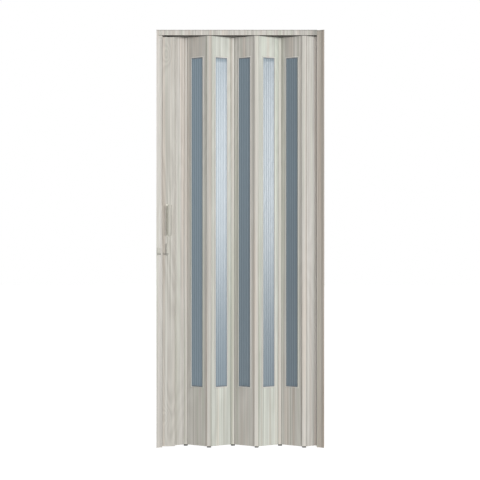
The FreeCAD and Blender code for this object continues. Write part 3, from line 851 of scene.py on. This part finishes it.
def bead(number):
    width, height, _, middle = opening_size(number)
    slat_depth = own_size(f"glazing_bead_{number}")[1]
    top = slat_depth / 2 + BEAD_PROUD
    steps = [(0, top - BEAD_SOFTNESS),
             (BEAD_SOFTNESS, BEAD_SOFTNESS),
             (BEAD_OVERLAP - 2 * BEAD_SOFTNESS - BEAD_SLOPE, 0),
             (BEAD_SOFTNESS, -BEAD_SOFTNESS),
             (BEAD_SLOPE, -(top - BEAD_SOFTNESS))]
    bm = ring(width, height, BEAD_OVERLAP, steps)
    stand_up(bm, middle, slat_turn(number))
    finish_piece(bm, f"bead_{number}", bead_foil,
                 [f"glazing_bead_{number}"], smooth_angle=50)


print("beads stand out", BEAD_PROUD)

# %% [markdown]
# ## Seals
# A thin dark rubber seal closes the joint between bead and pane. It is wider at
# its top and bottom, so the inner corners of the ring are moved along the pane.
# Each pane then gets its bead and its seal.

# %% Seals
SEAL_FLAT = 0.0007
SEAL_SIDE = 0.0003
SEAL_RISE = 0.0006
SEAL_DRAFT = 0.0002
SEAL_TUCK = 0.0003
SEAL_END = 0.0040
seal_rubber = moulded_material("seal_rubber", tone(112, 119, 124), 0.5, 0.7, 1200.0, 0.0001)


def seal(number):
    width, height, thickness, middle = opening_size(number)
    steps = [(0, thickness / 2 + SEAL_RISE), (SEAL_FLAT, 0), (SEAL_SIDE, -SEAL_RISE),
             (SEAL_DRAFT, -thickness / 2)]
    bm = ring(width, height, SEAL_TUCK, steps)
    for vert in bm.verts:
        if abs(vert.co.y) < height / 2:
            vert.co.y -= math.copysign(SEAL_END, vert.co.y)
    stand_up(bm, forward(middle, number), slat_turn(number))
    finish_piece(bm, f"pane_seal_{number}", seal_rubber, [], smooth_angle=50)


for number in GLAZED:
    bead(number)
    seal(number)
print("beads and seals", len(GLAZED))

# %% [markdown]
# ## The section of a hinge strip
# A hinge strip is soft vinyl, so its face is never quite flat. It swells a
# little between the slats. Its section lies between the ends of two turned
# slats, with a tongue in the groove of each. It is drawn as depths along a
# slat's end.

# %% Strip section
STRIP_HALF = 0.011
STRIP_SWELL = 0.0005
STRIP_PROUD = 0.0024
SHOULDER = 0.0012
STRIP_GAP = 0.0010
SETBACK = 0.0005
TONGUE_FRONT, TONGUE_BACK, TONGUE_REACH = 0.0034, 0.0062, 0.0036
SLAT_END = 0.0091
INNER_SWELL = -0.0008
CREASE_FROM = 0.0069


def strip_side_point(depth, reach):
    """A point of the right side: depth along the slat's end, reach into the slat."""
    return (STRIP_HALF - depth * math.sin(PLEAT) + reach * math.cos(PLEAT),
            depth * math.cos(PLEAT) + reach * math.sin(PLEAT))


def strip_section():
    """Half of the section, from the middle of its face to the middle of its back."""
    face = []
    edge = STRIP_HALF + STRIP_PROUD * math.sin(PLEAT) - STRIP_GAP
    flat = edge - SHOULDER
    for x in (0.0, flat * 0.35, CREASE_FROM - CREASE_FADE, CREASE_FROM, flat):
        face.append((x, STRIP_SWELL * (x / flat) ** 2 - STRIP_PROUD))
    shoulder = face[-1][1]
    for step in range(1, 5):
        angle = math.radians(90 * step / 4)
        face.append((flat + SHOULDER * math.sin(angle),
                     shoulder + SHOULDER * (1 - math.cos(angle))))
    depths_and_reaches = [
        (SETBACK, -STRIP_GAP), (TONGUE_FRONT, -STRIP_GAP), (TONGUE_FRONT, 0.0),
        (TONGUE_FRONT, TONGUE_REACH), (TONGUE_BACK, TONGUE_REACH), (TONGUE_BACK, 0.0),
        (TONGUE_BACK, -STRIP_GAP), (SLAT_END, -STRIP_GAP)]
    side = [strip_side_point(depth, reach) for depth, reach in depths_and_reaches]
    corner_x, corner_y = side[-1]
    back = [(corner_x * share, corner_y - INNER_SWELL * (1 - share * share))
            for share in (0.75, 0.5, 0.25, 0.0)]
    return face + side + back


half_section = strip_section()
full_section = half_section + [(-x, y) for x, y in reversed(half_section[1:-1])]
print("strip section with", len(full_section), "points")

# %% [markdown]
# ## Hinge strips
# The one section is extruded upwards at each of the six folds, and turned round
# at the rear ones. One edge is marked for a darker line of painted shade.

# %% Strips
# Painted shade: how dark the marked edge of a strip is painted.
CREASE_SHADE_SHARE = 0.62
for number in range(1, 7):
    node_name = f"hinge_strip_{number}"
    low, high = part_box(node_name)
    rear = low.y + high.y > 0
    fold_face = (high.y if rear else -low.y) + SETBACK
    bm = extrude_outline(full_section, low.z, high.z)
    crease_shade = bm.verts.layers.float.new("crease_shade")
    for vert in bm.verts:
        # Painted shade: one edge of the strip's face is marked darker.
        if vert.co.x > CREASE_FROM - HAIR and vert.co.y < 0:
            vert[crease_shade] = CREASE_SHADE_SHARE
    bmesh.ops.translate(bm, vec=(0, -fold_face, 0), verts=bm.verts)
    half_turn = Matrix.Rotation(math.radians(180 if rear else 0), 4, "Z")
    bm.transform(Matrix.Translation(((low.x + high.x) / 2, 0, 0)) @ half_turn)
    finish_piece(bm, f"soft_strip_{number}", strip_vinyl, [node_name],
                 smooth_angle=35)
print("hinge strips made")

# %% [markdown]
# ## Corner strips
# Two flatter strips tie the leaf to the post and to the wall jamb. Each has a
# tongue on both sides and a soft round in front that fills the corner beside the
# post or the jamb. The section is a plan outline with an arc, extruded upwards.

# %% Corner strips
TIE_ROUND_STEPS = 8
TIE_SWELL = 0.0020
TIE_PROUD = 0.0020
POST_TIE_LEAN = -0.0014
JAMB_TIE_WIDTH = 0.0062


def corner_strip(name, node_name, left, right, front, lean=0.0):
    """A tie strip whose soft front stands between left and right."""
    low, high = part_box(node_name)
    middle, radius = (left + right) / 2, (right - left) / 2
    outline = [(low.x, low.y), (left, low.y)]
    for step in range(TIE_ROUND_STEPS + 1):
        angle = math.pi * (1 - step / TIE_ROUND_STEPS)
        outline.append((middle + radius * math.cos(angle), front - TIE_SWELL * math.sin(angle)))
    outline += [(right + lean, low.y), (high.x, low.y), (high.x, high.y), (low.x, high.y)]
    bm = extrude_outline(outline, low.z, high.z)
    finish_piece(bm, name, tie_vinyl, [node_name], smooth_angle=35)


end_slant = SLAT_EDGE * math.sin(PLEAT)
first_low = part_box("slat_1")[0]
last_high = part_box("slat_7")[1]
jamb_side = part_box("right_jamb")[0].x
corner_strip("post_corner_strip", "post_hinge", post_high.x, first_low.x + end_slant - HAIR,
             first_low.y - TIE_PROUD, POST_TIE_LEAN)
corner_strip("jamb_corner_strip", "end_strip", jamb_side - JAMB_TIE_WIDTH, jamb_side,
             last_high.y - SLAT_EDGE - TIE_PROUD)
print("corner strips made")

# %% [markdown]
# ## Feet
# Under each strip sits a small moulded foot. It has a narrower neck that ends at
# the strip's underside and a rounded sole that slides over the floor.

# %% Foot caps
NECK_HEIGHT = 0.0022
NECK_INSET = 0.0006
FOOT_ROUND = 0.002
SOLE_ROUND = 0.0012


def foot_cap(number):
    low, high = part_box(f"foot_cap_{number}")
    bm = rectangle(high.x - low.x, high.y - low.y)
    round_off(bm, bm.verts[:], "VERTICES", FOOT_ROUND, 4)
    top = grow(bm, bm.faces[:], (0, 0, high.z - low.z - NECK_HEIGHT))
    bmesh.ops.inset_region(bm, faces=top, thickness=NECK_INSET, depth=0)
    grow(bm, top, (0, 0, NECK_HEIGHT))
    bmesh.ops.delete(bm, geom=top, context="FACES_ONLY")
    round_off(bm, edges_between(bm, -HAIR, HAIR), "EDGES", SOLE_ROUND, 3)
    bmesh.ops.translate(bm, vec=((low.x + high.x) / 2, (low.y + high.y) / 2, low.z),
                        verts=bm.verts)
    finish_piece(bm, f"sole_{number}", foot_rubber, [f"foot_cap_{number}"],
                 smooth_angle=40)


for number in range(1, 7):
    foot_cap(number)
print("feet made")

# %% [markdown]
# ## The pull's plate
# The pull is one moulding: a thin plate with a shallow finger field and a lip
# that curls over it. The plate starts as a rectangle with rounded corners. Its
# front face is inset twice, once for the rim and once for the field's slope.

# %% Pull plate
PLATE_ROUND = 0.007
PLATE_DEPTH = 0.003
PLATE_SOFTNESS = 0.0008
RIM_WIDTH = 0.004
FIELD_DEPTH = 0.0015
FIELD_SLOPE = 0.0009


def moulded_plate(width, height, depth, corner, softness):
    """A plate facing up with rounded corners and a rounded front rim."""
    bm = rectangle(width, height)
    round_off(bm, bm.verts[:], "VERTICES", corner, 8)
    bmesh.ops.remove_doubles(bm, verts=bm.verts[:], dist=1e-6)
    grow(bm, bm.faces[:], (0, 0, depth))
    round_off(bm, edges_between(bm, depth / 2, 2 * depth), "EDGES", softness, 3)
    return bm


pull_middle = Vector((pull_centre, post_low.y, (pull_low.z + pull_high.z) / 2))
bm = moulded_plate(pull_high.x - pull_low.x, pull_high.z - pull_low.z, PLATE_DEPTH,
                   PLATE_ROUND, PLATE_SOFTNESS)
front_face = max(bm.faces, key=lambda face: face.calc_area() if face.normal.z > 0.5 else 0)
bmesh.ops.inset_region(bm, faces=[front_face], thickness=RIM_WIDTH, depth=0)
bmesh.ops.inset_region(bm, faces=[front_face], thickness=FIELD_SLOPE, depth=0)
bmesh.ops.translate(bm, vec=(0, 0, -FIELD_DEPTH), verts=front_face.verts)
stand_up(bm, pull_middle, 0)
print("pull stands at", [round(value, 4) for value in pull_middle])

# %% [markdown]
# ## The pull's lip
# The lip is a short hooked section, drawn in plan and extruded, with its long and
# its end edges rounded so that it feels soft in the hand. It joins the plate in
# one mesh, because the real pull comes out of the mould in one piece.

# %% Pull lip
LIP_LENGTH = 0.146
LIP_ROUND = 0.0003
LIP_SECTION = [(0.0125, -0.0012), (0.0125, -0.0115), (0.0095, -0.015), (-0.0034, -0.015),
               (-0.0038, -0.0144), (-0.0038, -0.0118), (0.004, -0.0012)]
lip = extrude_outline(LIP_SECTION, -LIP_LENGTH / 2, LIP_LENGTH / 2)
round_off(lip, lip.edges[:], "EDGES", LIP_ROUND, 3)
lip.transform(Matrix.Translation(pull_middle))
lip_mesh = bpy.data.meshes.new("lip")
lip.to_mesh(lip_mesh)
lip.free()
bm.from_mesh(lip_mesh)
bpy.data.meshes.remove(lip_mesh)
finish_piece(bm, "pull", moulded_foil, ["handle"], smooth_angle=40)
print("pull made")

# %% [markdown]
# ## The latch plate
# The latch lies on a slim plate with round ends, made like the pull's plate.

# %% Latch plate
LATCH_SOFTNESS = 0.0007
low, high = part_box("lock_body")
latch_middle = Vector(((low.x + high.x) / 2, high.y, (low.z + high.z) / 2))
plate_width, plate_depth = high.x - low.x, high.y - low.y
bm = moulded_plate(plate_width, high.z - low.z, plate_depth, plate_width / 2 - 1e-5,
                   LATCH_SOFTNESS)
stand_up(bm, latch_middle, 0)
finish_piece(bm, "latch_plate", latch_foil, ["lock_body"], smooth_angle=40)
print("latch plate", round(plate_width, 4), "wide")

# %% [markdown]
# ## The hook
# A flat hook lies on the plate and turns on a rivet. It is cut from an outline of
# straight runs and arcs, so a small helper gives the points of an arc.

# %% Hook
HOOK_HALF = 0.0035
HOOK_FOOT = 0.0055
HOOK_NOTCH = 0.001
HOOK_SOFTNESS = 0.0005
TIP_HALF = 0.0018
TIP_RISE = 0.003
HOOK_CORNER = 0.004


def arc_points(x, y, radius, first, last, steps=6):
    points = []
    for step in range(steps + 1):
        angle = math.radians(first + (last - first) * step / steps)
        points.append((x + radius * math.cos(angle), y + radius * math.sin(angle)))
    return points


hook_depth = hook_high.y - hook_low.y
left, foot = hook_low.x - latch_middle.x, hook_low.z - latch_middle.z
top = hook_high.z - latch_middle.z
knee = foot + HOOK_FOOT
tip_right = left + 2 * TIP_HALF
hook_outline = (
    arc_points(0, foot + HOOK_HALF, HOOK_HALF, -90, 0)
    + arc_points(0, top - HOOK_HALF, HOOK_HALF, 0, 180)
    + [(-HOOK_HALF, knee + HOOK_NOTCH), (-HOOK_HALF - HOOK_NOTCH, knee),
       (tip_right + HOOK_NOTCH, knee), (tip_right, knee + HOOK_NOTCH)]
    + arc_points(left + TIP_HALF, knee + TIP_RISE, TIP_HALF, 0, 180)
    + arc_points(left + HOOK_CORNER, foot + HOOK_CORNER, HOOK_CORNER, 180, 270))
bm = extrude_outline(hook_outline, 0, hook_depth)
round_off(bm, edges_between(bm, hook_depth / 2, 2 * hook_depth), "EDGES", HOOK_SOFTNESS, 2)
stand_up(bm, latch_middle - Vector((0, plate_depth, 0)), 0)
finish_piece(bm, "latch_hook", latch_foil, ["lock_hook"], smooth_angle=40)
print("hook outline with", len(hook_outline), "points")

# %% [markdown]
# ## The rivet
# The hook's rivet has a low domed head. A quarter arc is squeezed to the head's
# profile and spun about its axis.

# %% Rivet
RIVET_RADIUS = 0.0022
RIVET_RISE = 0.0009
RIVET_FOOT = -0.0005
bm = bmesh.new()
quarter = [bm.verts.new((x, 0, z)) for x, z in arc_points(0, 0, 1, 0, 90, 5)]
bmesh.ops.scale(bm, vec=(RIVET_RADIUS, 1, RIVET_RISE), verts=quarter)
quarter.insert(0, bm.verts.new((RIVET_RADIUS, 0, RIVET_FOOT)))
edges = [bm.edges.new(pair) for pair in zip(quarter, quarter[1:])]
bmesh.ops.spin(bm, geom=quarter + edges, cent=(0, 0, 0), axis=(0, 0, 1), angle=2 * math.pi,
               steps=24, use_merge=True)
bmesh.ops.remove_doubles(bm, verts=bm.verts[:], dist=1e-6)
bmesh.ops.holes_fill(bm, edges=[edge for edge in bm.edges if edge.is_boundary], sides=0)
stand_up(bm, latch_middle - Vector((0, plate_depth + hook_depth, 0)), 0)
finish_piece(bm, "latch_rivet", latch_foil, [], smooth_angle=40)
print("latch made")

# %% [markdown]
# ## The front of the jambs
# The front of a jamb falls back from the wall in two slopes. The lip and the
# cover that follow lie on it, so they ask this helper how deep it is.

# %% Jamb front
JAMB_SLOPE = math.radians(22)
JAMB_INNER_SLOPE = math.radians(9)
JAMB_FACET = 0.016
header_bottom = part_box("header_rail")[0].z
left_low, left_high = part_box("left_jamb")
right_low, right_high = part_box("right_jamb")


def jamb_face(distance):
    """How deep the jamb's front lies at a distance from the wall."""
    inner = max(0.0, distance - JAMB_FACET)
    outer = min(distance, JAMB_FACET)
    return FRAME_FRONT + outer * math.tan(JAMB_SLOPE) + inner * math.tan(JAMB_INNER_SLOPE)


print("jamb front falls back", round(jamb_face(left_high.x - left_low.x) - FRAME_FRONT, 4))

# %% [markdown]
# ## Jamb lips
# A soft rounded lip runs down the inner edge of each jamb and closes the joint
# to the leaf. Its section has four corners, and three of them are rounded. On
# both jambs its right side stands out less than its left.

# %% Jamb lips
LIP_OVERHANG = 0.0011
JAMB_LIP_WIDTH = 0.0050
JAMB_LIP_DEPTH = 0.0015
JAMB_LIP_ROUND = 0.0003


def jamb_lip(name, wall, side, width, overhang, finish):
    reach = width + overhang
    inner_edge = wall + side * reach
    outer_edge = wall + side * (reach - JAMB_LIP_WIDTH)
    outer_face, inner_face = jamb_face(reach - JAMB_LIP_WIDTH), jamb_face(reach)
    outer_proud, inner_proud = (JAMB_LIP_DEPTH, JAMB_LIP_DEPTH / 3)[::side]
    corners = [(outer_edge, outer_face - outer_proud), (outer_edge, outer_face),
               (inner_edge, inner_face), (inner_edge, inner_face - inner_proud)]
    bm = extrude_outline(corners[::side], 0.0, header_bottom)
    uprights = [edge for edge in bm.edges if edge.calc_length() > 0.1
                and edge.verts[0].co.y < inner_face - JAMB_LIP_DEPTH / 4]
    round_off(bm, uprights, "EDGES", JAMB_LIP_ROUND, 3)
    finish_piece(bm, name, finish, [], smooth_angle=50)


jamb_lip("jamb_lip_left", left_low.x, 1, left_high.x - left_low.x, LIP_OVERHANG, corner_foil)
jamb_lip("jamb_lip_right", right_high.x, -1, right_high.x - right_low.x, 0.0, lip_foil)
print("jamb lips made")

# %% [markdown]
# ## The corner cover
# A flat cover brings the left jamb level with the header's face. It is the
# header's own profile, cut off along the two slopes of the jamb's front.

# %% Corner cover
HEADER_BEVEL = 0.003
cover_width = left_high.x - left_low.x
cover_depth = jamb_face(cover_width)
profile = [(FRAME_FRONT, header_bottom), (cover_depth, header_bottom),
           (cover_depth, FRAME_HIGH.z), (FRAME_FRONT + HEADER_BEVEL, FRAME_HIGH.z),
           (FRAME_FRONT, FRAME_HIGH.z - HEADER_BEVEL)]
bm = bmesh.new()
end_face = bm.faces.new([bm.verts.new((left_low.x, y, z)) for y, z in profile])
grow(bm, [end_face], (cover_width, 0, 0))
for slope, distance in ((JAMB_SLOPE, 0.0), (JAMB_INNER_SLOPE, JAMB_FACET)):
    bmesh.ops.bisect_plane(bm, geom=everything(bm), dist=1e-7,
                           plane_co=(left_low.x + distance, jamb_face(distance), 0),
                           plane_no=(-math.sin(slope), math.cos(slope), 0), clear_outer=True)
    bmesh.ops.holes_fill(bm, edges=[edge for edge in bm.edges if edge.is_boundary], sides=0)
finish_piece(bm, "corner_cover", corner_foil, [])
print("corner cover", round(cover_width, 4), "wide")

# %% [markdown]
# ## Gliders
# A glider is a nylon carriage with four small rollers and a pin that goes down
# into the post or the slat. It runs on the lips of the head channel.

# %% Gliders
ROLLER_RADIUS = 0.004
ROLLER_WIDTH = 0.005
ROLLER_SOFTNESS = 0.0008
RUNNER_HEIGHT = 0.006
RUNNER_PLAY = 0.002
RUNNER_SOFTNESS = 0.0012
PIN_RADIUS = 0.0025
PIN_TAPER = 0.8


def glider(number):
    low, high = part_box(f"glider_{number}")
    middle = (low + high) / 2
    width, depth = high.x - low.x, high.y - low.y
    bm = bmesh.new()
    bmesh.ops.create_cube(bm, size=1)
    bmesh.ops.scale(bm, vec=(width - RUNNER_PLAY, depth - 2 * ROLLER_WIDTH, RUNNER_HEIGHT),
                    verts=bm.verts)
    round_off(bm, bm.edges[:], "EDGES", RUNNER_SOFTNESS, 3)
    axle = high.z - ROLLER_RADIUS
    bmesh.ops.translate(bm, vec=(middle.x, middle.y, axle), verts=bm.verts)
    lying = Matrix.Rotation(math.radians(90), 4, "X")
    for side_x in (-1, 1):
        for side_y in (-1, 1):
            place = (middle.x + side_x * (width / 2 - ROLLER_RADIUS),
                     middle.y + side_y * (depth - ROLLER_WIDTH) / 2, axle)
            roller = bmesh.ops.create_cone(
                bm, cap_ends=True, segments=24, radius1=ROLLER_RADIUS, radius2=ROLLER_RADIUS,
                depth=ROLLER_WIDTH, matrix=Matrix.Translation(place) @ lying)
            rims = {edge for vert in roller["verts"] for edge in vert.link_edges
                    if len(edge.link_faces) == 2 and edge.calc_face_angle(0) > 1}
            round_off(bm, list(rims), "EDGES", ROLLER_SOFTNESS, 2)
    pin = (middle.x, middle.y, (low.z + axle) / 2)
    bmesh.ops.create_cone(bm, cap_ends=True, segments=24, radius1=PIN_RADIUS * PIN_TAPER,
                          radius2=PIN_RADIUS, depth=axle - low.z,
                          matrix=Matrix.Translation(pin))
    finish_piece(bm, f"carriage_{number}", glider_nylon, [f"glider_{number}"],
                 smooth_angle=40)


for number in range(1, 5):
    glider(number)
print("gliders made")

# %% [markdown]
# ## The backdrop
# The backdrop is the world itself, plain white. What the camera sees of it is
# lifted to white by Light Path, and its light on the door stays at a plain level.

# %% World
scene.view_settings.view_transform = "Standard"


def seen_directly(tree):
    """1 for what the camera sees straight, mirrored or through glass."""
    path = put(tree, "ShaderNodeLightPath")
    seen = maths(tree, "MAXIMUM", path.outputs["Is Camera Ray"], path.outputs["Is Glossy Ray"])
    return maths(tree, "MAXIMUM", seen, path.outputs["Is Transmission Ray"])


AMBIENT = 0.31
world = bpy.data.worlds.new("studio")
scene.world = world
world.use_nodes = True
tree = world.node_tree
tree.nodes.clear()
soft = put(tree, "ShaderNodeBackground", {"Color": (1, 1, 1, 1), "Strength": AMBIENT})
white = put(tree, "ShaderNodeBackground", {"Color": (1, 1, 1, 1), "Strength": 1.0})
sky = put(tree, "ShaderNodeMixShader", {0: seen_directly(tree), 1: soft.outputs[0],
                                        2: white.outputs[0]})
put(tree, "ShaderNodeOutputWorld", {"Surface": sky.outputs[0]})
print("ambient light", AMBIENT)

# %% [markdown]
# ## The floor
# The floor is one large sheet of white paper, half a millimetre below the door so
# that the two never share a plane. The part of it that the camera sees is lifted
# in the same way as the backdrop.

# %% Floor
FLOOR_SIZE = 24.0
FLOOR_DROP = 0.0005
FLOOR_LIFT = 0.8
bm = rectangle(FLOOR_SIZE, FLOOR_SIZE)
bmesh.ops.translate(bm, vec=(DOOR_MIDDLE, 0, -FLOOR_DROP), verts=bm.verts)
floor_mesh = bpy.data.meshes.new("studio_floor")
bm.to_mesh(floor_mesh)
bm.free()
floor = bpy.data.objects.new("studio_floor", floor_mesh)
scene.collection.objects.link(floor)
floor_paper = bpy.data.materials.new("floor_paper")
floor_paper.use_nodes = True
tree = floor_paper.node_tree
tree.nodes.clear()
paper = put(tree, "ShaderNodeBsdfDiffuse", {"Color": (0.8, 0.8, 0.8, 1)})
lift = put(tree, "ShaderNodeEmission",
           {"Color": (1, 1, 1, 1),
            "Strength": maths(tree, "MULTIPLY", seen_directly(tree), FLOOR_LIFT)})
both = put(tree, "ShaderNodeAddShader", {0: paper.outputs[0], 1: lift.outputs[0]})
put(tree, "ShaderNodeOutputMaterial", {"Surface": both.outputs[0]})
floor_mesh.materials.append(floor_paper)
print("floor", FLOOR_SIZE, "m wide")

# %% [markdown]
# ## The lamp
# One large soft lamp stands to the right. It gives the slats that face it their
# lighter tone and is mirrored in their panes. A lamp's energy spreads over its
# area, so it is worked out from the brightness of the lamp's face.

# %% Key lamp
LAMP_BEARING = math.radians(42)
LAMP_DISTANCE = 15.0
LAMP_HEIGHT = 2.95
LAMP_WIDTH = 10.3
LAMP_TALL = 6.5
LAMP_RADIANCE = 9.7
LAMP_AIM = 1.7
lamp_data = bpy.data.lights.new("key_lamp", "AREA")
lamp_data.shape = "RECTANGLE"
lamp_data.size = LAMP_WIDTH
lamp_data.size_y = LAMP_TALL
lamp_data.energy = LAMP_RADIANCE * math.pi * LAMP_WIDTH * LAMP_TALL
lamp = bpy.data.objects.new("key_lamp", lamp_data)
lamp.location = (DOOR_MIDDLE + LAMP_DISTANCE * math.sin(LAMP_BEARING),
                 -LAMP_DISTANCE * math.cos(LAMP_BEARING), LAMP_HEIGHT)
facing = Vector((DOOR_MIDDLE, 0, LAMP_AIM)) - lamp.location
lamp.rotation_euler = facing.to_track_quat("-Z", "Y").to_euler()
scene.collection.objects.link(lamp)
print("key lamp stands", [round(c, 2) for c in lamp.location])
